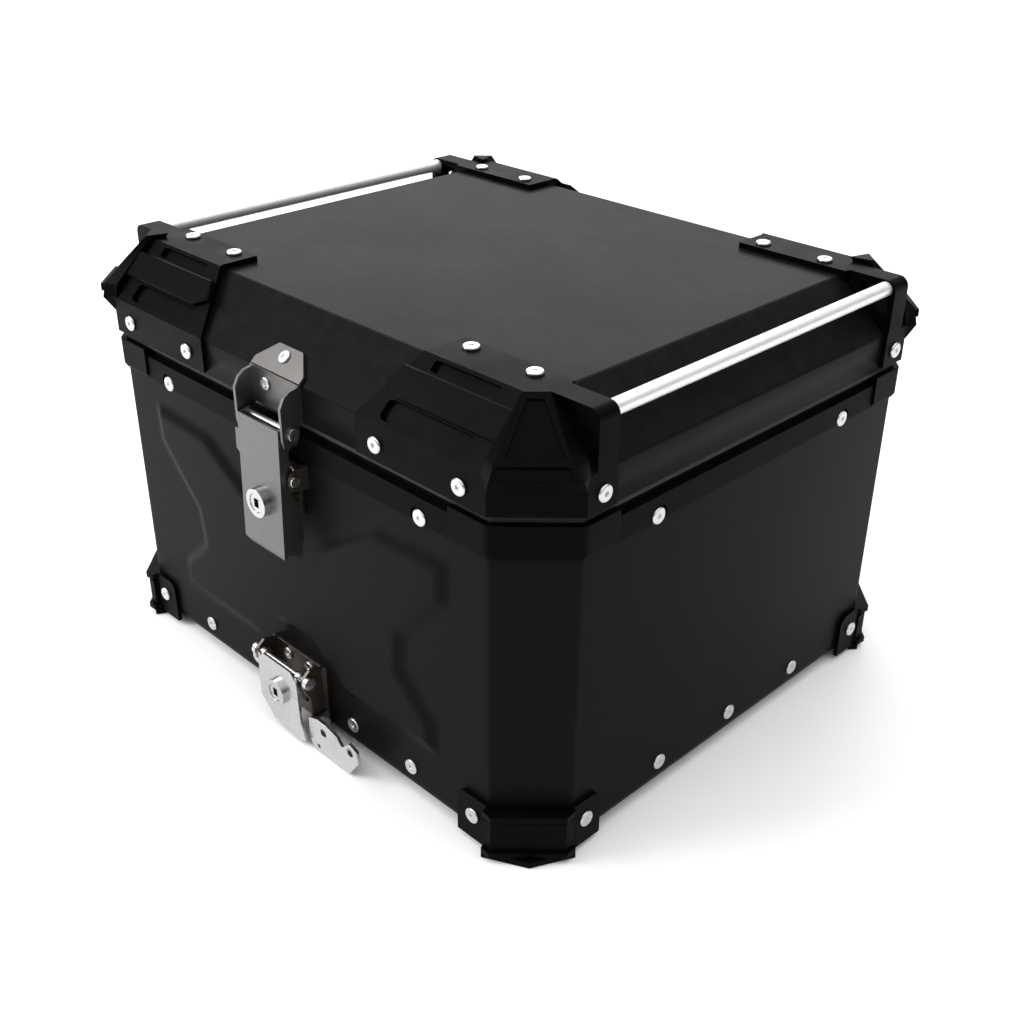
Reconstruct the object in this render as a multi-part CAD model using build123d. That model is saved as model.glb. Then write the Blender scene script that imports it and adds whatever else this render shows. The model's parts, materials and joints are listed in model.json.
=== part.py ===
from build123d import *
import os
from math import sqrt

# Hard motorcycle top case: folded sheet box, bevelled lid, moulded corner guards, two luggage rails,
# a key-locked draw latch and a release lock for the carrier.  Millimetres, +Z up, latch face towards -Y,
# Z = 0 is the plane the four corner feet stand on.

# Sheet box: half sizes and leg of the 45 degree corner faces
BOX_X, BOX_Y, BOX_CUT, SHEET, BEND = 225.0, 195.0, 36.0, 2.0, 4.0
WALL_LOW, WALL_TOP, PAN_LOW, PAN_LIP = 11.0, 229.0, 13.0, 34.0
# Raised panel on the latch face: right half outline (X, Z), height and slope angle
PANEL = [(12, 147), (90, 194), (156, 197), (155, 166), (115, 124), (112, 99), (141, 73), (144, 47), (48, 46),
         (18, 70)]
PANEL_RISE, PANEL_SLOPE = 3.5, 62.0

# Rim
RIM_LOW, RIM_TOP, RIM_BAR, RIM_CORNER, RIM_INNER = 214.0, 236.0, 1.6, 3.2, 7.0
RIM_SPLIT_X, RIM_SPLIT_Y, RIM_SEAM, BAR_TOP, BAR_STEP = 158.0, 131.0, 0.4, 230.5, 3.2
SEAL_IN, SEAL_OUT, SEAL_TOP = 4.5, 0.8, 239.4

# Feet
FOOT_OUT, FOOT_TOP, FOOT_LOW, FOOT_TAB_X, FOOT_TAB_Y, FOOT_ROUND = 3.0, 38.0, 4.0, 163.0, 136.0, 8.0

# Lid: sheet panel, bevel and lip
PANEL_X, PANEL_Y, PANEL_Z, PANEL_CUT = 187.0, 158.2, 298.0, 6.0
LIP_X, LIP_Y, LIP_CUT, LIP_LOW, BEVEL_LOW = 225.5, 195.5, 36.5, 240.0, 264.6

# Lid corner guards
GUARD_X, GUARD_Y, GUARD_CUT, GUARD_TOP, GUARD_LOW, GUARD_BEVEL_LOW = 228.5, 198.5, 38.5, 302.0, 241.5, 266.3
FOLD_X, FOLD_Y, FOLD_CUT, PLANK = 193.0, 163.5, 8.0, 3.8
ARM_FRONT, ARM_REAR, ARM_ROUND, SLOT_DEPTH = 153.0, 137.0, 7.0, 3.4

# Luggage rails
RAIL_R, RAIL_X, RAIL_Z, RAIL_HALF = 5.0, 220.9, 295.9, 139.0

# Fasteners
HEAD_R, SCREW_HEAD, RIVET_HEAD, SHANK_R, SHANK_GAP, SOCKET_R = 5.5, 2.2, 1.7, 2.4, 0.05, 1.5

# Draw latch
HASP_X, HASP_T, PIVOT_Y, PIVOT_Z, PIN_R, RUN = 25.0, 2.4, -204.0, 235.0, 2.5, 0.06
LEVER_X = 21.6
LOCK_Z, BARREL_R, CORE_R, LOCK_FACE = 183.0, 10.0, 6.5, -220.0
CROSS_Y, CROSS_Z, CATCH_IN = -206.0, 203.0, 23.0

# Hinges
HINGE_X, HINGE_HALF, HINGE_Y, HINGE_Z, KNUCKLE_R, HINGE_T, HINGE_PIN_R = 46.0, 30.0, 202.6, 238.0, 3.4, 2.0, 1.6

# Carrier lock
DOCK_PIN_Y, DOCK_PIN_Z, DOCK_LOCK_Z = -211.0, 52.0, 33.4
TIE_HOLES = ((45.0, 20.0, 3.2), (74.0, 20.0, 3.2), (39.0, 5.5, 1.6))

# Half the difference between the front and rear reach, which centres the frame
CENTRE = Pos(0, (-LOCK_FACE - HINGE_Y - KNUCKLE_R) / 2, 0)
FAR = 400.0


# ---------- shared shapes ----------

def octagon(half_x, half_y, cut):
    corners = []
    for sx, sy in ((1, -1), (1, 1), (-1, 1), (-1, -1)):
        pair = [(sx * (half_x - cut), sy * half_y), (sx * half_x, sy * (half_y - cut))]
        corners += pair if sx * sy < 0 else pair[::-1]
    return Polygon(*corners, align=None)


def prism(offset, low, high):
    """Box outline moved outwards by offset, with bent corners, between two heights."""
    face = octagon(BOX_X + offset, BOX_Y + offset, BOX_CUT + offset * (2 - sqrt(2)))
    face = fillet(face.vertices(), max(BEND + offset, 0.5))
    return Pos(0, 0, low) * extrude(face, high - low, dir=(0, 0, 1))


def bevelled(top, low, fold, lip):
    """Octagonal hood: (x, y, cut, z) of the top face, height of the mouth, and (x, y, cut, z) of the lip fold."""
    upper = Pos(0, 0, top[3]) * octagon(*top[:3])
    middle = Pos(0, 0, fold[3]) * octagon(*fold[:3])
    lower = Pos(0, 0, low) * octagon(*lip)
    return loft([middle, upper], ruled=True) + loft([lower, middle], ruled=True)


def block(x0, x1, y0, y1, z0, z1):
    return Pos((x0 + x1) / 2, (y0 + y1) / 2, (z0 + z1) / 2) * Box(abs(x1 - x0), abs(y1 - y0), abs(z1 - z0))


def rod_x(x0, x1, y, z, radius):
    return Pos((x0 + x1) / 2, y, z) * Rot(0, 90, 0) * Cylinder(radius, x1 - x0)


def rod_y(x, y0, y1, z, radius):
    return Pos(x, (y0 + y1) / 2, z) * Rot(90, 0, 0) * Cylinder(radius, y1 - y0)


def profile_x(points, x0, x1):
    """A (Y, Z) outline extruded along X."""
    face = Plane((x0, 0, 0), (0, 1, 0), (1, 0, 0)) * Polygon(*points, align=None)
    return extrude(face, x1 - x0, dir=(1, 0, 0))


def profile_y(points, y0, y1):
    """An (X, Z) outline extruded along Y."""
    face = Plane((0, y1, 0), (1, 0, 0), (0, -1, 0)) * Polygon(*points, align=None)
    return extrude(face, y1 - y0, dir=(0, -1, 0))


def plan(points, z0, z1):
    return Pos(0, 0, z0) * extrude(Polygon(*points, align=None), z1 - z0, dir=(0, 0, 1))


def corner_copy(shape, sx, sy):
    """Front right shape mirrored to another corner; sy = -1 is the rear."""
    if sx < 0:
        shape = mirror(shape, Plane.YZ)
    return mirror(shape, Plane.XZ) if sy < 0 else shape


# ---------- fasteners ----------

def seat(x, y, z, normal):
    return Plane(origin=(x, y, z), z_dir=normal)


def headed(head, grip, radius=HEAD_R):
    """Domed head with a centre socket and a shank."""
    dome = Pos(0, 0, head / 2) * Cylinder(radius, head)
    dome = fillet(dome.edges().group_by(Axis.Z)[-1], head * 0.6)
    return dome + Pos(0, 0, -grip / 2) * Cylinder(SHANK_R, grip) - Pos(0, 0, head) * Cylinder(SOCKET_R, head)


def group(seats, head, grip, radius=HEAD_R):
    return Compound(children=[frame * headed(head, grip, radius) for frame in seats])


def drilled(shape, seats, grip):
    for frame in seats:
        shape -= frame * (Pos(0, 0, -grip / 2 + 1) * Cylinder(SHANK_R + SHANK_GAP, grip + 2))
    return shape


def wall_seats(front_xs, side_ys, offset, z):
    """The same seats on the front and rear walls, and on the two side walls."""
    seats = []
    for s in (-1, 1):
        seats += [seat(x * m, s * (BOX_Y + offset), z, (0, s, 0)) for x in front_xs for m in (-1, 1)]
        seats += [seat(s * (BOX_X + offset), y, z, (s, 0, 0)) for y in side_ys]
    return seats


BOTTOM_SEATS = wall_seats((55.9, 115.9), (-75.3, 0, 75.3), 0, 23.5)
FOOT_SEATS = wall_seats((177.2,), (-149.7, 149.7), FOOT_OUT, 23.3)
RIM_SEATS = wall_seats((132.5,), (-95.3, 95.3), 0.4, 217.0)
LIP_SEATS = wall_seats((98.4, 169.7), (-147.4, 147.4), GUARD_X - BOX_X, 252.4)
TOP_SEATS = [seat(x * sx, 141.7 * sy, GUARD_TOP, (0, 0, 1)) for x in (119.0, 170.0) for sx in (-1,
        1) for sy in (-1, 1)]
CATCH_SEATS = [seat(x, -BOX_Y - HASP_T, 201.5, (0, -1, 0)) for x in (-10.0, 10.0)]
HASP_SEATS = [seat(-9.0, -LIP_Y - HASP_T, 256.5, (0, -1, 0)), seat(0.0, -188.48, 274.14, (0, -0.667, 0.745))]
DOCK_SEATS = [seat(x, -BOX_Y - HASP_T, 50.0, (0, -1, 0)) for x in (-12.0, 12.0)]
HINGE_XS = (-HINGE_X, HINGE_X)
CASE_LEAF_SEATS = [seat(c + x, BOX_Y + RIM_BAR + HINGE_T, 224.0, (0, 1, 0)) for c in HINGE_XS for x in (-18,
        18)]
LID_LEAF_SEATS = [seat(c + x, LIP_Y + HINGE_T, 253.0, (0, 1, 0)) for c in HINGE_XS for x in (-18, 18)]
BOTTOM_GRIP, FOOT_GRIP, RIM_GRIP = 2 * SHEET, FOOT_OUT + 2 * SHEET, 0.4 + SHEET
LIP_GRIP, TOP_GRIP = GUARD_X - LIP_X + SHEET, GUARD_TOP - PANEL_Z + SHEET
PLATE_GRIP, CASE_LEAF_GRIP = HASP_T + SHEET, RIM_BAR + HINGE_T + RIM_INNER


# ---------- case body ----------

def raised_panel(depth):
    outline = PANEL + [(-x, z) for x, z in reversed(PANEL)]
    plane = Plane((0, -BOX_Y + depth, 0), (1, 0, 0), (0, -1, 0))
    return extrude(plane * Polygon(*reversed(outline), align=None), PANEL_RISE, taper=PANEL_SLOPE)


def tub_wall():
    wall = prism(0, WALL_LOW, WALL_TOP) - prism(-SHEET, WALL_LOW - 1, WALL_TOP + 1)
    wall = wall + raised_panel(0) - raised_panel(SHEET)
    for seats, grip in ((BOTTOM_SEATS, BOTTOM_GRIP), (FOOT_SEATS, FOOT_GRIP), (RIM_SEATS, RIM_GRIP),
                        (CATCH_SEATS, PLATE_GRIP), (DOCK_SEATS, PLATE_GRIP), (CASE_LEAF_SEATS,
                                                                              CASE_LEAF_GRIP)):
        wall = drilled(wall, seats, grip)
    return wall


def floor_pan():
    pan = prism(-SHEET, PAN_LOW, PAN_LIP) - prism(-2 * SHEET, PAN_LOW + SHEET, PAN_LIP + 1)
    return drilled(drilled(pan, BOTTOM_SEATS, BOTTOM_GRIP), FOOT_SEATS, FOOT_GRIP)


def rim_ring(reach):
    """Inverted channel that straddles the top edge of the sheet wall."""
    ring = prism(reach, RIM_LOW, RIM_TOP) - prism(-RIM_INNER, RIM_LOW - 1, RIM_TOP + 1)
    return ring - (prism(0, RIM_LOW - 1, WALL_TOP) - prism(-SHEET, RIM_LOW - 2, WALL_TOP + 1))


def rim_bars():
    ring = rim_ring(RIM_BAR)
    ring -= prism(RIM_BAR + 2, BAR_TOP, RIM_TOP + 1) - prism(-BAR_STEP, BAR_TOP - 1, RIM_TOP + 2)
    for frame in RIM_SEATS:
        ring -= frame * (Pos(0, 0, 5) * Cylinder(7.2, 10))
    ring = drilled(drilled(ring, RIM_SEATS, RIM_GRIP), CASE_LEAF_SEATS, CASE_LEAF_GRIP)
    x, y = RIM_SPLIT_X, RIM_SPLIT_Y
    return {
        "rim_bar_front": ring & block(-x, x, -FAR, 0, 0, FAR),
        "rim_bar_rear": ring & block(-x, x, 0, FAR, 0, FAR),
        "rim_bar_left": ring & block(-FAR, 0, -y, y, 0, FAR),
        "rim_bar_right": ring & block(0, FAR, -y, y, 0, FAR),
    }


def rim_corner():
    x, y = RIM_SPLIT_X + RIM_SEAM, RIM_SPLIT_Y + RIM_SEAM
    region = plan([(x, -FAR), (x, -y), (FAR, -y), (FAR, -FAR)], 0, FAR)
    lower = prism(RIM_CORNER + 1, RIM_LOW - 1, RIM_LOW + 2) - prism(RIM_CORNER - 1.2, RIM_LOW - 2,
                                                                    RIM_LOW + 3)
    return rim_ring(RIM_CORNER) & region - lower


def rim_seal():
    return prism(-SEAL_OUT, RIM_TOP, SEAL_TOP) - prism(-SEAL_IN, RIM_TOP - 1, SEAL_TOP + 1)


def corner_foot():
    """Two round-topped tabs, a waisted bumper on the corner face and a pointed ground plate."""
    wrap = prism(FOOT_OUT, FOOT_LOW, FOOT_TOP) - prism(0, FOOT_LOW - 1, FOOT_TOP + 1)
    wrap &= plan([(FOOT_TAB_X, -FAR), (FOOT_TAB_X, -FOOT_TAB_Y), (FAR, -FOOT_TAB_Y), (FAR, -FAR)], 0, 60)
    r, top = FOOT_ROUND, FOOT_TOP - FOOT_ROUND
    notch = block(FOOT_TAB_X - 1, FOOT_TAB_X + r, -210, -190, top, FOOT_TOP + 1)
    wrap -= notch - rod_y(FOOT_TAB_X + r, -212, -188, top, r)
    notch = block(215, 240, -FOOT_TAB_Y - r, -FOOT_TAB_Y + 1, top, FOOT_TOP + 1)
    wrap -= notch - rod_x(213, 242, -FOOT_TAB_Y - r, top, r)
    upper = [(188, -196), (189.5, -201.5), (197, -202.5), (230.5, -169), (229.5, -161), (226, -158)]
    middle = [(187, -196), (189.5, -203), (197, -203.5), (231.5, -169), (231, -161), (225.5, -158)]
    lower = [(186, -196.5), (189.5, -203), (217.5, -188.5), (231, -161), (226.5, -156)]
    wrap += plan(upper, 32, 36.5) + plan(middle, 4, 8)
    wrap += plan([(189, -196), (190, -201), (196, -201), (229, -168), (229, -160), (226, -159)], 8, 30)
    wrap += plan(lower, 0, FOOT_LOW)
    wrap -= prism(0, -1, FOOT_TOP + 1)
    return drilled(wrap, FOOT_SEATS, FOOT_GRIP)


# ---------- lid ----------

LID_TOP, LID_FOLD = (PANEL_X, PANEL_Y, PANEL_CUT, PANEL_Z), (LIP_X, LIP_Y, LIP_CUT, BEVEL_LOW)


def lid_hood():
    return bevelled(LID_TOP, LIP_LOW, LID_FOLD, LID_FOLD[:3])


def lid_shell():
    inner_fold = (LIP_X - SHEET, LIP_Y - SHEET, LIP_CUT - 1.17, BEVEL_LOW - 0.9)
    inner_top = (PANEL_X - 0.8, PANEL_Y - 0.8, PANEL_CUT, PANEL_Z - SHEET)
    shell = lid_hood() - bevelled(inner_top, LIP_LOW - 1, inner_fold, inner_fold[:3])
    for seats, grip in ((LIP_SEATS, LIP_GRIP), (TOP_SEATS, TOP_GRIP), (HASP_SEATS, PLATE_GRIP),
                        (LID_LEAF_SEATS, HINGE_T + SHEET)):
        shell = drilled(shell, seats, grip)
    return shell


def nose():
    """Wedge on the corner that overhangs the lip."""
    levels = [
        (305.0, [(186, -166), (187, -169.5), (197.5, -158.7), (195, -157), (182, -154)]),
        (275.5, [(187.5, -196.5), (197.6, -200.4), (227.3, -170.6), (226.5, -158.5), (200, -165)]),
        (266.0, [(186, -198.4), (196.5, -203.3), (232, -166.8), (228.4, -158), (204, -168)]),
        (257.0, [(189.5, -198.4), (190.7, -198.6), (228.6, -160.7), (228.4, -159.5), (206, -170)]),
    ]
    faces = [Pos(0, 0, z) * Polygon(*points, align=None) for z, points in levels]
    shape = loft(faces[:2], ruled=True)
    for upper, lower in zip(faces[1:], faces[2:]):
        shape += loft([upper, lower], ruled=True)
    face = Plane((192.25, -164.1, 305), (1, 1, 0), (0.501, -0.501, 0.707))
    shape -= face * extrude(Polygon((-4.6, -4), (4.6, -4), (16, -37), (-16, -37), align=None), 1.6, both=True)
    bar = Plane((213.7, -186.7, 271.5), (1, 1, 0), (1, -1, 0))
    return shape + bar * Box(38, 5.4, 3.4)


def arm():
    """Arch over the side bevel with an open window and the rail socket in its corner."""
    top, out = GUARD_TOP, GUARD_X
    outline = [(188, 298), (188, top), (out, top), (out, 255), (222, 255)]
    body = profile_y(outline, -ARM_FRONT, -ARM_REAR)
    body = fillet(body.edges().filter_by(Axis.Y).sort_by_distance((out, -145, top))[:1], ARM_ROUND)
    window = profile_y([(199.5, 297), (213, 297), (217, 289), (224, 288), (224, 272.5)], -ARM_FRONT - 1,
                       -ARM_REAR + 1)
    return body - window


SLOPE = Plane((0, -FOLD_Y, GUARD_TOP), (1, 0, 0), (0, -0.714, 0.7))


def slot(x0, x1, along, half, depth):
    """Round-ended cutter that sinks into the front bevel at a distance down the slope."""
    outline = fillet(Rectangle(x1 - x0, 2 * half).vertices(), 0.6 * half)
    return SLOPE * (Pos((x0 + x1) / 2, -along, 0) * extrude(outline, depth, both=True))


def plank():
    """Raised strip across the middle of the front bevel, between the two slots."""
    outline = Polygon((98, -12), (190, -12), (197, -32), (104, -32), (91, -25), align=None)
    strip = extrude(outline, PLANK, dir=(0, 0, 1))
    return SLOPE * chamfer(strip.edges().group_by(Axis.Z)[-1], 1.0)


def lid_guard():
    """Front right guard: plates on panel, bevel and lip, nose, arm and two sunk slots."""
    outer = bevelled((FOLD_X, FOLD_Y, FOLD_CUT, GUARD_TOP), GUARD_LOW, (GUARD_X, GUARD_Y, GUARD_CUT,
                                                                        GUARD_BEVEL_LOW),
                     (GUARD_X, GUARD_Y, GUARD_CUT))
    region = plan([(104.5, -133), (104.5, -160), (103, -163.5), (80, -GUARD_Y), (80, -210), (FAR, -210),
                   (FAR, -136), (192, -136), (192, -133)], 200, 320)
    plates = (outer & region) - slot(115, 169, 6.2, 3.8, SLOT_DEPTH) - slot(99, 171, 40, 6.8, SLOT_DEPTH)
    guard = plates + plank() + nose() + arm()
    guard = guard - lid_hood() - rod_y(RAIL_X, -RAIL_HALF, -100, RAIL_Z, RAIL_R)
    return drilled(drilled(guard, LIP_SEATS, LIP_GRIP), TOP_SEATS, TOP_GRIP)


def rail():
    return fillet(rod_y(RAIL_X, -RAIL_HALF, RAIL_HALF, RAIL_Z, RAIL_R).edges(), 0.5)


# ---------- draw latch ----------

def hasp_bracket():
    """Bent sheet on the lid: tab on the bevel, plate on the lip, two cheeks that carry the lever pin."""
    slope = Plane((0, -LIP_Y, BEVEL_LOW), (1, 0, 0), (0, -0.667, 0.745))
    outline = Polygon((-25, 0), (-25, 5), (-12, 19), (12, 19), (25, 5), (25, 0), align=None)
    tab = slope * extrude(outline, HASP_T, dir=(0, 0, 1))
    plate = block(-HASP_X, HASP_X, -LIP_Y - HASP_T, -LIP_Y, 241.0, BEVEL_LOW + 1) - lid_hood()
    cheek = [(-195.5, 265), (-204, 263.5), (-208.5, 260.5), (-212, 254), (-212, 232), (-211, 227.2), (-201,
        227.2),
             (-198, 240), (-195.5, 241)]
    bracket = plate + tab
    for s in (-1, 1):
        bracket += profile_x(cheek, min(s * HASP_X, s * (HASP_X - HASP_T)), max(s * HASP_X,
                                                                                s * (HASP_X - HASP_T)))
    bracket = bracket - lid_hood() - rod_x(-40, 40, PIVOT_Y, PIVOT_Z, PIN_R)
    return drilled(bracket, HASP_SEATS, PLATE_GRIP)


def lever_pin():
    pin = rod_x(-HASP_X - 1.5, HASP_X + 1.5, PIVOT_Y, PIVOT_Z, PIN_R)
    for s in (-1, 1):
        pin += rod_x(*sorted((s * HASP_X, s * (HASP_X + 1.6))), PIVOT_Y, PIVOT_Z, 4.2)
    return pin


def latch_lever():
    """Pressed lever: face plate, two cheeks with pivot eyes and hook notches, and a deep lower box."""
    face = profile_x([(-213.0, 238.5), (-216, 150), (-214, 146), (-212, 146), (-214, 150), (-211.0, 238.5)],
                     -25, 25)
    sides = [(-21.4, 240), (-21.4, 227), (-25, 226.5), (-25, 212), (-LEVER_X, 210), (-LEVER_X, 150), (-18,
        145),
             (18, 145), (LEVER_X, 150), (LEVER_X, 240)]
    lever = face & profile_y(sides, -FAR, 0)
    cheek = [(-212, 238.5), (-204, 240), (-199.5, 236), (-199.8, 231), (-206, 222), (-206, 190), (-200, 184),
             (-199.5, 158), (-204, 150), (-215, 150)]
    for s in (-1, 1):
        inner, outer = sorted((s * 21.4, s * 19.4))
        lever += profile_x(cheek, inner, outer)
    lever -= rod_x(-30, 30, PIVOT_Y, PIVOT_Z, PIN_R + RUN)
    lever -= rod_x(-30, 30, CROSS_Y, CROSS_Z, 3.2)
    return lever - rod_y(0, -230, -190, LOCK_Z, BARREL_R)


def lock_barrel(z, face, depth):
    ring = rod_y(0, face, face + depth, z, BARREL_R) - rod_y(0, face - 1, face + depth + 1, z, CORE_R + RUN)
    return ring


def lock_key_core(z, face, depth):
    """Turning core with a square keyway."""
    core = rod_y(0, face + 0.6, face + depth, z, CORE_R)
    return core - block(-2.4, 2.4, face, face + 9, z - 3.2, z + 3.2)


def lock_cam(z, y0, y1, reach):
    """Tongue on the inner end of the core, pointing down when unlocked."""
    return rod_y(0, y0, y1, z, 5.0) + block(-3.2, 3.2, y0, y1, z - reach, z)


def keeper(z):
    """Post and tab that the lock tongue turns behind."""
    return block(15.5, 17.5, -206, -BOX_Y - HASP_T, z - 6, z + 6) + block(11.5, 17.5, -206, -204, z - 6,
                                                                          z + 6)


def catch_bracket():
    """Plate on the wall with an ear on each side of the lever and the keeper for the lock tongue."""
    plate = block(-25, 25, -BOX_Y - HASP_T, -BOX_Y, 195, 209) + block(-18, 18, -BOX_Y - HASP_T, -BOX_Y, 172,
                                                                      195)
    plate += keeper(LOCK_Z)
    ear = [(-195, 194), (-207, 196), (-209.5, 200), (-209.5, 206), (-207, 209), (-195, 211)]
    plate += profile_x(ear, -25, -CATCH_IN) + profile_x(ear, CATCH_IN, 25)
    plate -= rod_x(-40, 40, CROSS_Y, CROSS_Z, PIN_R)
    return drilled(plate, CATCH_SEATS, PLATE_GRIP)


def ear_studs():
    studs = []
    for s in (-1, 1):
        stud = rod_x(*sorted((s * CATCH_IN, s * 26)), CROSS_Y, CROSS_Z, PIN_R)
        studs.append(stud + rod_x(*sorted((s * 25, s * 26.6)), CROSS_Y, CROSS_Z, 3.6))
    return Compound(children=studs)


# ---------- hinges ----------

def knuckles(parts, low):
    """Knuckles over the given fifths of the hinge width, with the pin bore."""
    width = 2 * HINGE_HALF / 5
    shape = None
    for c in HINGE_XS:
        for part in parts:
            x0 = c - HINGE_HALF + part * width + 0.2
            piece = rod_x(x0, x0 + width - 0.4, HINGE_Y, HINGE_Z, KNUCKLE_R)
            piece += block(x0, x0 + width - 0.4, *low)
            shape = piece if shape is None else shape + piece
    return shape


def hinge_leaf(on_lid):
    inner = LIP_Y if on_lid else BOX_Y + RIM_BAR
    z0, z1 = (243.0, 262.0) if on_lid else (RIM_LOW + 0.5, 233.0)
    joint_z = (HINGE_Z, z0) if on_lid else (z1, HINGE_Z)
    link = (inner, inner + HINGE_T, min(joint_z) - (0 if on_lid else 2), max(joint_z) + (2 if on_lid else 0))
    leaf = knuckles((1, 3) if on_lid else (0, 2, 4), (HINGE_Y - KNUCKLE_R, HINGE_Y - 1.2, link[2], link[3]))
    for c in HINGE_XS:
        leaf += block(c - HINGE_HALF, c + HINGE_HALF, inner, inner + HINGE_T, z0, z1)
        web = block(c - HINGE_HALF, c + HINGE_HALF, inner, HINGE_Y - 1.2, z0, z0 + 3) if on_lid else block(
            c - HINGE_HALF, c + HINGE_HALF, inner, HINGE_Y - 1.2, z1 - 3, z1)
        leaf += web
    bore = RUN if on_lid else 0.0
    leaf -= rod_x(-FAR, FAR, HINGE_Y, HINGE_Z, HINGE_PIN_R + bore)
    return drilled(leaf, LID_LEAF_SEATS if on_lid else CASE_LEAF_SEATS, HINGE_T + 1)


def hinge_pins():
    return Compound(children=[rod_x(c - HINGE_HALF - 1, c + HINGE_HALF + 1, HINGE_Y, HINGE_Z, HINGE_PIN_R)
                              for c in HINGE_XS])


# ---------- carrier lock ----------

def dock_bracket():
    """U bracket on the lower wall whose ears hold the lever pin."""
    plate = block(-30, 30, -BOX_Y - HASP_T, -BOX_Y, 8, 57)
    ear = [(-195, 57), (-208, 60), (-214.4, 55), (-214.4, 47), (-209, 36), (-208, 14), (-195, 8)]
    plate += profile_x(ear, -27.4, -25) + profile_x(ear, 25, 27.4)
    plate += keeper(DOCK_LOCK_Z)
    plate -= rod_x(-60, 60, DOCK_PIN_Y, DOCK_PIN_Z, PIN_R)
    return drilled(plate, DOCK_SEATS, PLATE_GRIP)


def dock_tie_plate():
    """Flat lobed plate to the right of the lock, standing off the bracket on a short foot."""
    outline = [(29, 8), (29, 25), (38, 28), (48, 28), (60, 25), (65, 19), (73, 27), (81, 24), (82.5, 15),
               (72, 1), (34, 1)]
    plate = profile_y(outline, -213.4, -211)
    plate = fillet(plate.edges().filter_by(Axis.Y), 2.0) + block(29, 32, -211.5, -BOX_Y - HASP_T, 10, 22)
    for x, z, r in TIE_HOLES:
        plate -= rod_y(x, -220, -200, z, r)
    return plate


def dock_pin():
    pin = rod_x(-31, 31, DOCK_PIN_Y, DOCK_PIN_Z, PIN_R)
    return pin + rod_x(-31, -27.4, DOCK_PIN_Y, DOCK_PIN_Z, 4.5) + rod_x(27.4, 31, DOCK_PIN_Y, DOCK_PIN_Z, 4.5)


def dock_lever():
    """Short lever with rounded shoulders, cheeks on the pin and the lower lip swept to the right."""
    face = profile_y([(-22, 50), (-16, 57), (16, 57), (22, 50), (23.5, 18), (28.5, 5), (20, 2), (-8, 6),
                      (-22, 19)],
                     -216.5, -214.8)
    cheek = [(-214.8, 55), (-207.5, 55), (-207.2, 47), (-212, 42), (-214.8, 20), (-216, 20), (-216, 55)]
    lever = face + profile_x(cheek, -22, -20) + profile_x(cheek, 20, 22)
    lever += rod_x(-22, -18, DOCK_PIN_Y, DOCK_PIN_Z, 4.2) + rod_x(18, 22, DOCK_PIN_Y, DOCK_PIN_Z, 4.2)
    lever -= rod_x(-40, 40, DOCK_PIN_Y, DOCK_PIN_Z, PIN_R + RUN)
    return lever - rod_y(0, -230, -190, DOCK_LOCK_Z, BARREL_R)


def build():
    parts = {"tub_wall": tub_wall(), "floor_pan": floor_pan(), "rim_seal": rim_seal(),
             "lid_shell": lid_shell()}
    parts.update(rim_bars())
    corner_shapes = {"rim_corner": rim_corner(), "foot": corner_foot(), "lid_guard": lid_guard()}
    for name, shape in corner_shapes.items():
        for where, (sx, sy) in {"front_right": (1, 1), "front_left": (-1, 1),
                                "rear_right": (1, -1), "rear_left": (-1, -1)}.items():
            parts[f"{name}_{where}"] = corner_copy(shape, sx, sy)
    parts["rail_right"] = rail()
    parts["rail_left"] = mirror(parts["rail_right"], Plane.YZ)
    parts["bottom_rivets"] = group(BOTTOM_SEATS, RIVET_HEAD, BOTTOM_GRIP)
    parts["foot_rivets"] = group(FOOT_SEATS, RIVET_HEAD, FOOT_GRIP)
    parts["rim_rivets"] = group(RIM_SEATS, RIVET_HEAD, RIM_GRIP)
    parts["guard_lip_screws"] = group(LIP_SEATS, SCREW_HEAD, LIP_GRIP)
    parts["guard_top_screws"] = group(TOP_SEATS, SCREW_HEAD, TOP_GRIP)
    parts["hasp_screws"] = group(HASP_SEATS, RIVET_HEAD, PLATE_GRIP, 4.5)
    parts["catch_screws"] = group(CATCH_SEATS, RIVET_HEAD, PLATE_GRIP, 4.5)
    parts["dock_screws"] = group(DOCK_SEATS, RIVET_HEAD, PLATE_GRIP, 4.5)
    parts["hinge_case_rivets"] = group(CASE_LEAF_SEATS, RIVET_HEAD, CASE_LEAF_GRIP, 4.0)
    parts["hinge_lid_rivets"] = group(LID_LEAF_SEATS, RIVET_HEAD, HINGE_T + SHEET, 4.0)
    parts["hinge_leaf_case"] = hinge_leaf(False)
    parts["hinge_leaf_lid"] = hinge_leaf(True)
    parts["hinge_pins"] = hinge_pins()
    parts["hasp_bracket"] = hasp_bracket()
    parts["lever_pin"] = lever_pin()
    parts["latch_lever"] = latch_lever()
    parts["latch_barrel"] = lock_barrel(LOCK_Z, LOCK_FACE, 16)
    parts["latch_core"] = lock_key_core(LOCK_Z, LOCK_FACE, 17)
    parts["latch_cam"] = lock_cam(LOCK_Z, LOCK_FACE + 17, LOCK_FACE + 19, 14.5)
    parts["catch_bracket"] = catch_bracket()
    parts["ear_studs"] = ear_studs()
    parts["dock_bracket"] = dock_bracket()
    parts["dock_tie_plate"] = dock_tie_plate()
    parts["dock_pin"] = dock_pin()
    parts["dock_lever"] = dock_lever()
    parts["dock_barrel"] = lock_barrel(DOCK_LOCK_Z, LOCK_FACE, 12)
    parts["dock_core"] = lock_key_core(DOCK_LOCK_Z, LOCK_FACE, 17)
    parts["dock_cam"] = lock_cam(DOCK_LOCK_Z, LOCK_FACE + 17, LOCK_FACE + 19, 14.5)
    return parts


os.makedirs("parts", exist_ok=True)
for name, shape in build().items():
    moved = CENTRE * shape
    moved.label = name
    export_step(moved, f"parts/{name}.step")
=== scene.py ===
import json
import math
import bpy
from mathutils import Matrix, Vector

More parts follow.
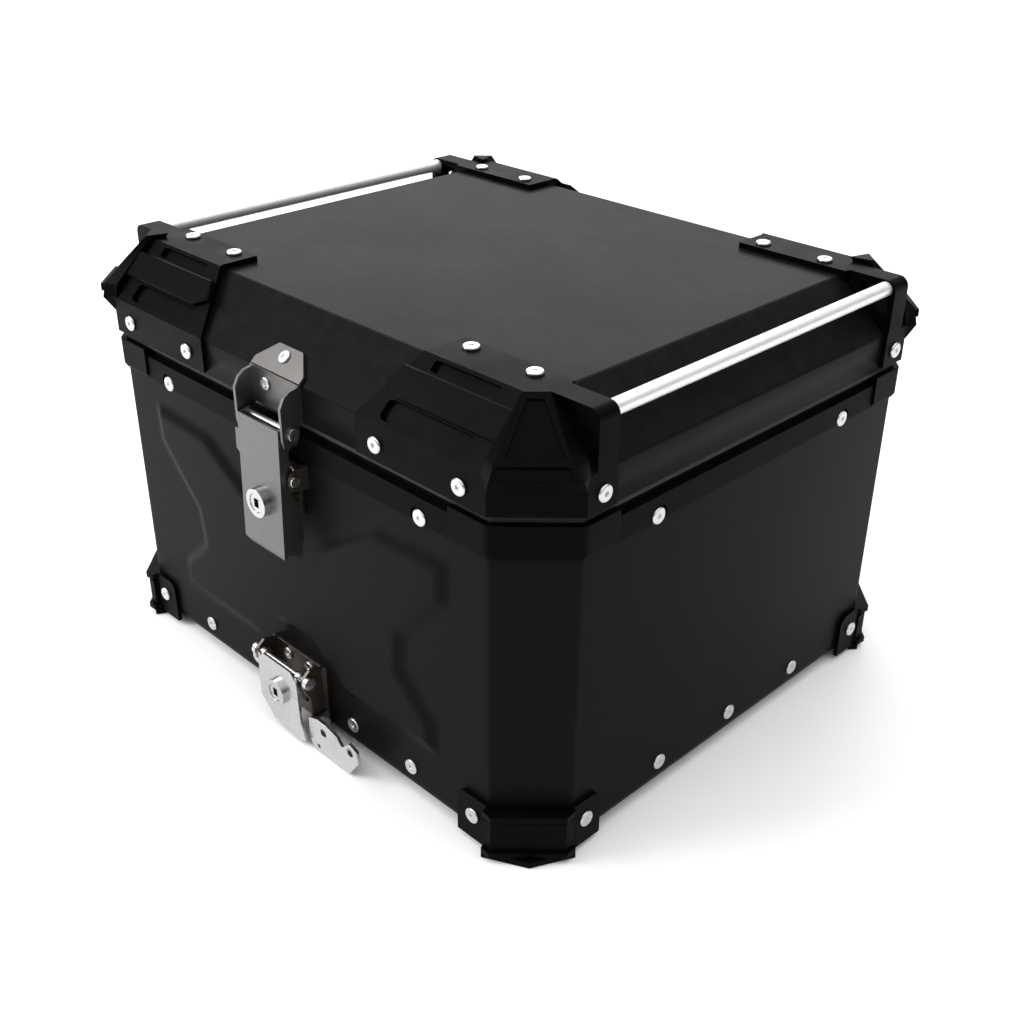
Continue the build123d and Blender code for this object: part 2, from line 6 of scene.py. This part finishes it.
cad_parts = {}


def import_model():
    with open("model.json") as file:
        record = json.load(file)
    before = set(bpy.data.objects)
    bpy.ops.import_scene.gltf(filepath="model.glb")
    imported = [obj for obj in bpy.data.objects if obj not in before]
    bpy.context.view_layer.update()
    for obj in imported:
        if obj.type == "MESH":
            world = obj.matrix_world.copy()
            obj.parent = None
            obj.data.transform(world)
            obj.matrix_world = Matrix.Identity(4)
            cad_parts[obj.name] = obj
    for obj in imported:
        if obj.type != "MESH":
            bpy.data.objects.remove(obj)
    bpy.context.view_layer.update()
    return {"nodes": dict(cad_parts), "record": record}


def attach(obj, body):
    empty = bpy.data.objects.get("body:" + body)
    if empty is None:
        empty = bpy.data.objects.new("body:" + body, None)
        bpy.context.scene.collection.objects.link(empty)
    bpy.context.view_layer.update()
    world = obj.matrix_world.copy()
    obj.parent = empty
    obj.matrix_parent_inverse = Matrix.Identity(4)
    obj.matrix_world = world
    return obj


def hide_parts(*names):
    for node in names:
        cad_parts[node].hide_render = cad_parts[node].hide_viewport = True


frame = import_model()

NODES = frame["nodes"]
SLOTS = {part["node"]: part["material_slot"] for part in frame["record"]["subparts"]}


# ---------- node helpers ----------

class Tree:
    """Short helpers around one material's node tree."""

    def __init__(self, name):
        self.mat = bpy.data.materials.new(name)
        self.mat.use_nodes = True
        self.nt = self.mat.node_tree
        self.bsdf = self.nt.nodes["Principled BSDF"]
        self.coord = self.add("ShaderNodeTexCoord").outputs["Object"]

    def add(self, kind, **inputs):
        node = self.nt.nodes.new(kind)
        for key, value in inputs.items():
            self.put(node.inputs[key.replace("_", " ")], value)
        return node

    def put(self, socket, value):
        if isinstance(value, bpy.types.NodeSocket):
            self.nt.links.new(value, socket)
        else:
            socket.default_value = value

    def set(self, **inputs):
        for key, value in inputs.items():
            self.put(self.bsdf.inputs[key.replace("_", " ")], value)

    def stretch(self, x, y, z):
        node = self.add("ShaderNodeMapping", Vector=self.coord)
        node.inputs["Scale"].default_value = (x, y, z)
        return node.outputs["Vector"]

    def noise(self, scale, detail=4.0, rough=0.6, vector=None, warp=0.0):
        node = self.add("ShaderNodeTexNoise", Vector=vector or self.coord, Scale=scale, Detail=detail,
                        Roughness=rough, Distortion=warp)
        return node.outputs["Fac"]

    def cells(self, scale):
        node = self.add("ShaderNodeTexVoronoi", Vector=self.coord, Scale=scale)
        return node.outputs["Distance"]

    def remap(self, value, low, high, to_low, to_high):
        node = self.add("ShaderNodeMapRange", Value=value, From_Min=low, From_Max=high,
                        To_Min=to_low, To_Max=to_high)
        return node.outputs["Result"]

    def maths(self, operation, a, b):
        node = self.add("ShaderNodeMath")
        node.operation = operation
        self.put(node.inputs[0], a)
        self.put(node.inputs[1], b)
        return node.outputs[0]

    def mix(self, factor, a, b):
        node = self.add("ShaderNodeMix")
        node.data_type = "RGBA"
        for socket, value in ((node.inputs[0], factor), (node.inputs[6], a), (node.inputs[7], b)):
            self.put(socket, value)
        return node.outputs[2]

    def bump(self, height, strength, distance):
        node = self.add("ShaderNodeBump", Height=height, Strength=strength, Distance=distance)
        return node.outputs["Normal"]

    def facing(self, axis):
        """0 to 1 with how far the surface faces along a world axis."""
        geometry = self.add("ShaderNodeNewGeometry")
        split = self.add("ShaderNodeSeparateXYZ", Vector=geometry.outputs["Normal"])
        return self.remap(split.outputs[axis], 0.0, 1.0, 0.0, 1.0)


COAT_IOR = 1.25
MOULDED_LEVEL = 0.095
PALE_DUST = (0.30, 0.29, 0.28, 1.0)
EVEN = (1.0, 1.0, 1.0)          # brushing without a direction


def grey(value, warm=0.0):
    return (value * (1 + warm), value, value * (1 - warm), 1.0)


# ---------- materials ----------

def powder_coat(name, base, rough, grain=1400.0, strength=0.22, dust=0.02, level=0.11):
    """Fine satin powder coat with soft wipe marks and settled dust."""
    t = Tree(name)
    wipes = t.noise(9.0, 5.0, 0.65, t.stretch(1.0, 1.0, 0.5), 0.6)
    specks = t.noise(grain, 2.0, 0.5)
    cloud = t.noise(3.5, 3.0, 0.5)
    colour = t.mix(t.remap(cloud, 0.3, 0.7, 0.0, 1.0), grey(base * 0.9), grey(base * 1.12, 0.01))
    settled = t.maths("MULTIPLY", t.facing("Z"), t.remap(t.noise(60.0, 6.0, 0.7), 0.45, 0.75, 0.0, dust))
    colour = t.mix(settled, colour, PALE_DUST)
    t.set(Base_Color=colour, Roughness=t.remap(wipes, 0.3, 0.7, rough - 0.02, rough + 0.025),
          Specular_IOR_Level=level, IOR=COAT_IOR, Normal=t.bump(specks, strength, 0.00012))
    return t.mat


def moulded(name, base, rough):
    """Matt moulding with leather-like grain and light scuffs."""
    t = Tree(name)
    grain = t.cells(900.0)
    fine = t.noise(2600.0, 2.0, 0.6)
    height = t.maths("ADD", grain, t.maths("MULTIPLY", fine, 0.5))
    scuff = t.remap(t.noise(140.0, 8.0, 0.75, t.stretch(1.0, 3.0, 1.0), 1.5), 0.60, 0.78, 0.0, 0.22)
    colour = t.mix(scuff, grey(base), grey(base * 3.4, 0.01))
    t.set(Base_Color=colour, Roughness=t.remap(t.noise(30.0), 0.3, 0.7, rough - 0.05, rough + 0.07),
          Specular_IOR_Level=MOULDED_LEVEL, IOR=COAT_IOR, Normal=t.bump(height, 0.25, 0.00018))
    return t.mat


def metal(name, base, rough, brush=EVEN, warm=0.0, strength=0.1, stain=0.25, metallic=1.0):
    """Worked metal: directional brushing, faint stains and fine scratches."""
    t = Tree(name)
    brushed = t.noise(1500.0, 3.0, 0.7, t.stretch(*brush))
    blotch = t.remap(t.noise(55.0, 5.0, 0.65, None, 0.8), 0.42, 0.72, 0.0, stain)
    scratch = t.remap(t.noise(420.0, 2.0, 0.4, t.stretch(1.0, 0.12, 0.12), 2.0), 0.70, 0.74, 0.0, 1.0)
    colour = t.mix(blotch, grey(base, warm), grey(base * 0.62, warm * 1.6 + 0.02))
    roughness = t.maths("ADD", t.remap(brushed, 0.3, 0.7, rough - 0.06, rough + 0.08),
                        t.maths("MULTIPLY", scratch, 0.10))
    t.set(Base_Color=colour, Metallic=metallic, Roughness=roughness,
          Normal=t.bump(brushed, strength, 0.00006))
    return t.mat


def rubber(name):
    t = Tree(name)
    height = t.noise(700.0, 6.0, 0.7)
    bloom = t.remap(t.noise(80.0, 5.0), 0.5, 0.8, 0.0, 0.2)
    t.set(Base_Color=t.mix(bloom, grey(0.008), grey(0.05)), Roughness=t.remap(height, 0.3, 0.7, 0.7, 0.9),
          Normal=t.bump(height, 0.3, 0.0002))
    return t.mat


MATERIALS = {
    "sheet_black": powder_coat("sheet_black", 0.0040, 0.40),
    "moulded_black": moulded("moulded_black", 0.0013, 0.40),
    "rim_black": powder_coat("rim_black", 0.002, 0.45, dust=0.01, level=0.08),
    "rivet_steel": metal("rivet_steel", 0.60, 0.26, EVEN, 0.0, 0.08),
    "seal_rubber": rubber("seal_rubber"),
    "rail_aluminium": metal("rail_aluminium", 0.80, 0.28, (1.0, 0.03, 1.0), 0.0, 0.06, 0.08, metallic=0.5),
    "lock_chrome": metal("lock_chrome", 0.50, 0.18, EVEN, 0.0, 0.04, 0.15),
    "zinc_cam": metal("zinc_cam", 0.50, 0.38, EVEN, 0.04, 0.15, 0.4),
    "dock_steel": metal("dock_steel", 0.52, 0.26, (0.05, 1.0, 1.0), -0.015, 0.07, 0.2),
    "bronze_plate": metal("bronze_plate", 0.10, 0.40, (0.05, 1.0, 1.0), 0.18, 0.12, 0.3),
    "hinge_steel": metal("hinge_steel", 0.30, 0.40, (0.05, 1.0, 1.0), 0.0, 0.12, 0.3),
    "latch_steel": metal("latch_steel", 0.14, 0.36, (0.04, 1.0, 1.0), 0.03, 0.09, 0.14),
}


# ---------- rounding the CAD meshes ----------

# Edge rounding by material slot, in mm
BEVELS = {"sheet_black": 0.5, "moulded_black": 0.8, "rim_black": 0.5, "rivet_steel": 0.25,
          "seal_rubber": 0.4, "rail_aluminium": 0.2, "lock_chrome": 0.25, "zinc_cam": 0.2,
          "dock_steel": 0.4, "hinge_steel": 0.3, "bronze_plate": 0.3, "latch_steel": 0.4}
WELD_DISTANCE = 0.00002
FLAT_ANGLE = math.radians(0.4)
EDGE_ANGLE = math.radians(28)


def finish_node(name, obj):
    """Welded, softly bevelled copy of the CAD mesh through modifiers, with its own material."""
    slot = SLOTS[name]
    obj.data.materials.clear()
    obj.data.materials.append(MATERIALS[slot])
    for polygon in obj.data.polygons:
        polygon.use_smooth = True
        polygon.material_index = 0
    weld = obj.modifiers.new("weld", "WELD")
    weld.merge_threshold = WELD_DISTANCE
    flat = obj.modifiers.new("flat", "DECIMATE")
    flat.decimate_type = "DISSOLVE"
    flat.angle_limit = FLAT_ANGLE
    bevel = obj.modifiers.new("bevel", "BEVEL")
    bevel.width = BEVELS[slot] / 1000
    bevel.segments = 2
    bevel.limit_method = "ANGLE"
    bevel.angle_limit = EDGE_ANGLE
    bevel.harden_normals = True
    bevel.use_clamp_overlap = True
    normals = obj.modifiers.new("normals", "WEIGHTED_NORMAL")
    normals.keep_sharp = True


for name, obj in NODES.items():
    finish_node(name, obj)


# ---------- sheet metal with real folds and pressing ----------

SHIFT = 7.0                     # the sheet box centre lies this far behind the frame origin, in mm
SHEET = 2.0
HALF_X, HALF_Y, LEG = 225, 195, 36
WALL_BEND, BEND_STEPS = 4.0, 4
WALL_LOW, WALL_TOP, WALL_ROWS = 11.0, 229.0, 74
HALF_PANEL = [(12, 147), (90, 194), (156, 197), (155, 166), (115, 124), (112, 99), (141, 73), (144, 47),
              (48, 46), (18, 70)]
PANEL = HALF_PANEL + [(-x, z) for x, z in reversed(HALF_PANEL)]
PANEL_RISE, PANEL_FLANK = 3.4, 8.5
# Lid outline at each height: half width, half depth, corner leg, height
LID_RINGS = [(181.0, 152.2, 5.0, 298.0), (187.0, 158.2, 6.0, 298.0), (225.5, 195.5, 36.5, 264.6),
             (225.5, 195.5, 36.5, 240.0)]
LID_FOLD, LID_FOLD_STEPS, LID_FOLD_ANGLE = 0.0016, 3, math.radians(12)


def sheet_object(name, vertices, faces, body, slot, replaced):
    mesh = bpy.data.meshes.new(name)
    mesh.from_pydata([(x / 1000, (y + SHIFT) / 1000, z / 1000) for x, y, z in vertices], [], faces)
    mesh.validate()
    for polygon in mesh.polygons:
        polygon.use_smooth = True
    mesh.materials.append(MATERIALS[slot])
    obj = bpy.data.objects.new(name, mesh)
    bpy.context.scene.collection.objects.link(obj)
    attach(obj, body)
    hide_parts(replaced)
    return obj


def thicken(obj, millimetres):
    solid = obj.modifiers.new("sheet", "SOLIDIFY")
    solid.thickness = millimetres / 1000
    solid.offset = -1.0


def edge_distance(x, z):
    """Distance into the raised panel's outline, 0 outside it."""
    inside, nearest = False, 1e9
    for (x0, z0), (x1, z1) in zip(PANEL, PANEL[1:] + PANEL[:1]):
        if (z0 > z) != (z1 > z) and x < x0 + (z - z0) * (x1 - x0) / (z1 - z0):
            inside = not inside
        dot = (x - x0) * (x1 - x0) + (z - z0) * (z1 - z0)
        along = max(0.0, min(1.0, dot / ((x1 - x0) ** 2 + (z1 - z0) ** 2)))
        nearest = min(nearest, math.hypot(x - x0 - along * (x1 - x0), z - z0 - along * (z1 - z0)))
    return nearest if inside else 0.0


def rise(x, z):
    part = min(edge_distance(x, z) / PANEL_FLANK, 1.0)
    return PANEL_RISE * part * part * (3 - 2 * part)


def wall_outline(step=3.0):
    """Box outline from the front left corner, counter-clockwise, with fine steps on the front."""
    flat_x, flat_y = HALF_X - LEG, HALF_Y - LEG
    sharp = [(-flat_x, -HALF_Y), (flat_x, -HALF_Y), (HALF_X, -flat_y), (HALF_X, flat_y),
             (flat_x, HALF_Y), (-flat_x, HALF_Y), (-HALF_X, flat_y), (-HALF_X, -flat_y)]
    points = []
    for k, corner in enumerate(sharp):
        before, after = Vector(sharp[k - 1]), Vector(sharp[(k + 1) % 8])
        corner = Vector(corner)
        reach = WALL_BEND * math.tan(math.radians(22.5))
        start = corner + (before - corner).normalized() * reach
        end = corner + (after - corner).normalized() * reach
        for j in range(BEND_STEPS + 1):
            w = j / BEND_STEPS
            points.append(start * (1 - w) ** 2 + corner * 2 * w * (1 - w) + end * w * w)
        if k == 0:
            count = int((2 * (flat_x - reach)) / step)
            points += [Vector((-flat_x + reach + step * n, -HALF_Y)) for n in range(1, count)]
    return points


def tub_mesh():
    outline = wall_outline()
    vertices, faces = [], []
    for r in range(WALL_ROWS):
        z = WALL_LOW + (WALL_TOP - WALL_LOW) * r / (WALL_ROWS - 1)
        for p in outline:
            lift = rise(p.x, z) if p.y < 0.1 - HALF_Y else 0.0
            vertices.append((p.x, p.y - lift, z))
    n = len(outline)
    for r in range(WALL_ROWS - 1):
        for k in range(n):
            j = (k + 1) % n
            faces.append((r * n + k, r * n + j, (r + 1) * n + j, (r + 1) * n + k))
    thicken(sheet_object("case_wall", vertices, faces, "case", "sheet_black", "tub_wall"), SHEET)


def lid_mesh():
    vertices, faces = [], []
    for hx, hy, cut, z in LID_RINGS:
        corners = ((-hx + cut, -hy), (hx - cut, -hy), (hx, -hy + cut), (hx, hy - cut),
                   (hx - cut, hy), (-hx + cut, hy), (-hx, hy - cut), (-hx, -hy + cut))
        vertices += [(x, y, z) for x, y in corners]
    faces.append(tuple(range(8)))
    for r in range(len(LID_RINGS) - 1):
        for k in range(8):
            j = (k + 1) % 8
            faces.append((r * 8 + k, (r + 1) * 8 + k, (r + 1) * 8 + j, r * 8 + j))
    obj = sheet_object("lid_sheet", vertices, faces, "lid", "sheet_black", "lid_shell")
    bend = obj.modifiers.new("folds", "BEVEL")
    bend.width, bend.segments = LID_FOLD, LID_FOLD_STEPS
    bend.limit_method, bend.angle_limit = "ANGLE", LID_FOLD_ANGLE
    bend.harden_normals = True
    thicken(obj, SHEET)


tub_mesh()
lid_mesh()


# ---------- floor, light and camera ----------

FLOOR_HALF, FLOOR_DROP, FLOOR_PALE = 30.0, 0.0006, 0.93
YAW, PITCH, ROLL = math.radians(45.007), math.radians(29.152), math.radians(0.508)
CAMERA_PLACE = (0.6252, -0.6067, 0.5804)
SENSOR, FOCAL_SHARE = 36.0, 1291.16 / 1024     # focal length as a share of the sensor width
HORIZON, OVERHEAD = 0.25, 0.85                 # heights between which the dome brightens

def surface(name, colour, rough):
    t = Tree(name)
    t.set(Base_Color=t.mix(t.remap(t.noise(4.0), 0.3, 0.7, 0.0, 1.0), grey(colour), grey(colour * 0.99)),
          Roughness=rough)
    return t.mat


def floor():
    mesh = bpy.data.meshes.new("floor")
    r = FLOOR_HALF
    mesh.from_pydata([(-r, -r, 0), (r, -r, 0), (r, r, 0), (-r, r, 0)], [], [(0, 1, 2, 3)])
    obj = bpy.data.objects.new("floor", mesh)
    obj.location.z = -FLOOR_DROP
    mesh.materials.append(surface("floor_pale", FLOOR_PALE, 0.9))
    bpy.context.scene.collection.objects.link(obj)


def area(name, place, target, size, power):
    light = bpy.data.lights.new(name, "AREA")
    light.shape = "RECTANGLE"
    light.size, light.size_y = size
    light.energy = power
    obj = bpy.data.objects.new(name, light)
    obj.location = place
    aim = Vector(target) - Vector(place)
    obj.rotation_euler = aim.to_track_quat("-Z", "Y").to_euler()
    bpy.context.scene.collection.objects.link(obj)


def world(high, low):
    """Soft dome: bright overhead, darker towards the horizon."""
    made = bpy.data.worlds.new("studio")
    made.use_nodes = True
    nt = made.node_tree
    coord = nt.nodes.new("ShaderNodeTexCoord")
    split = nt.nodes.new("ShaderNodeSeparateXYZ")
    ramp = nt.nodes.new("ShaderNodeMapRange")
    ramp.interpolation_type = "SMOOTHSTEP"
    for key, value in (("From Min", HORIZON), ("From Max", OVERHEAD), ("To Min", low), ("To Max", high)):
        ramp.inputs[key].default_value = value
    nt.links.new(coord.outputs["Generated"], split.inputs[0])
    nt.links.new(split.outputs["Z"], ramp.inputs["Value"])
    nt.links.new(ramp.outputs["Result"], nt.nodes["Background"].inputs["Strength"])
    nt.nodes["Background"].inputs["Color"].default_value = (1.0, 1.0, 1.0, 1.0)
    bpy.context.scene.world = made


def camera():
    ahead = Vector((-math.sin(YAW) * math.cos(PITCH), math.cos(YAW) * math.cos(PITCH), -math.sin(PITCH)))
    level = Vector((math.cos(YAW), math.sin(YAW), 0.0))
    upright = level.cross(ahead)
    right = math.cos(ROLL) * level + math.sin(ROLL) * upright
    up = math.cos(ROLL) * upright - math.sin(ROLL) * level
    lens = bpy.data.cameras.new("camera")
    lens.sensor_width, lens.lens = SENSOR, FOCAL_SHARE * SENSOR
    lens.clip_end = 100.0
    obj = bpy.data.objects.new("camera", lens)
    turn = Matrix((right, up, -ahead)).transposed().to_4x4()
    obj.matrix_world = Matrix.Translation(CAMERA_PLACE) @ turn
    bpy.context.scene.collection.objects.link(obj)
    bpy.context.scene.camera = obj


floor()
world(1.85, 0.25)
area("back_softbox", (-2.4, 2.4, 1.9), (0, 0, 0.3), (3.4, 1.6), 52)
area("front_left", (-1.1, -1.5, 1.2), (-0.3, -0.6, 0), (1.0, 1.0), 26)
camera()
bpy.context.scene.view_settings.view_transform = "Standard"
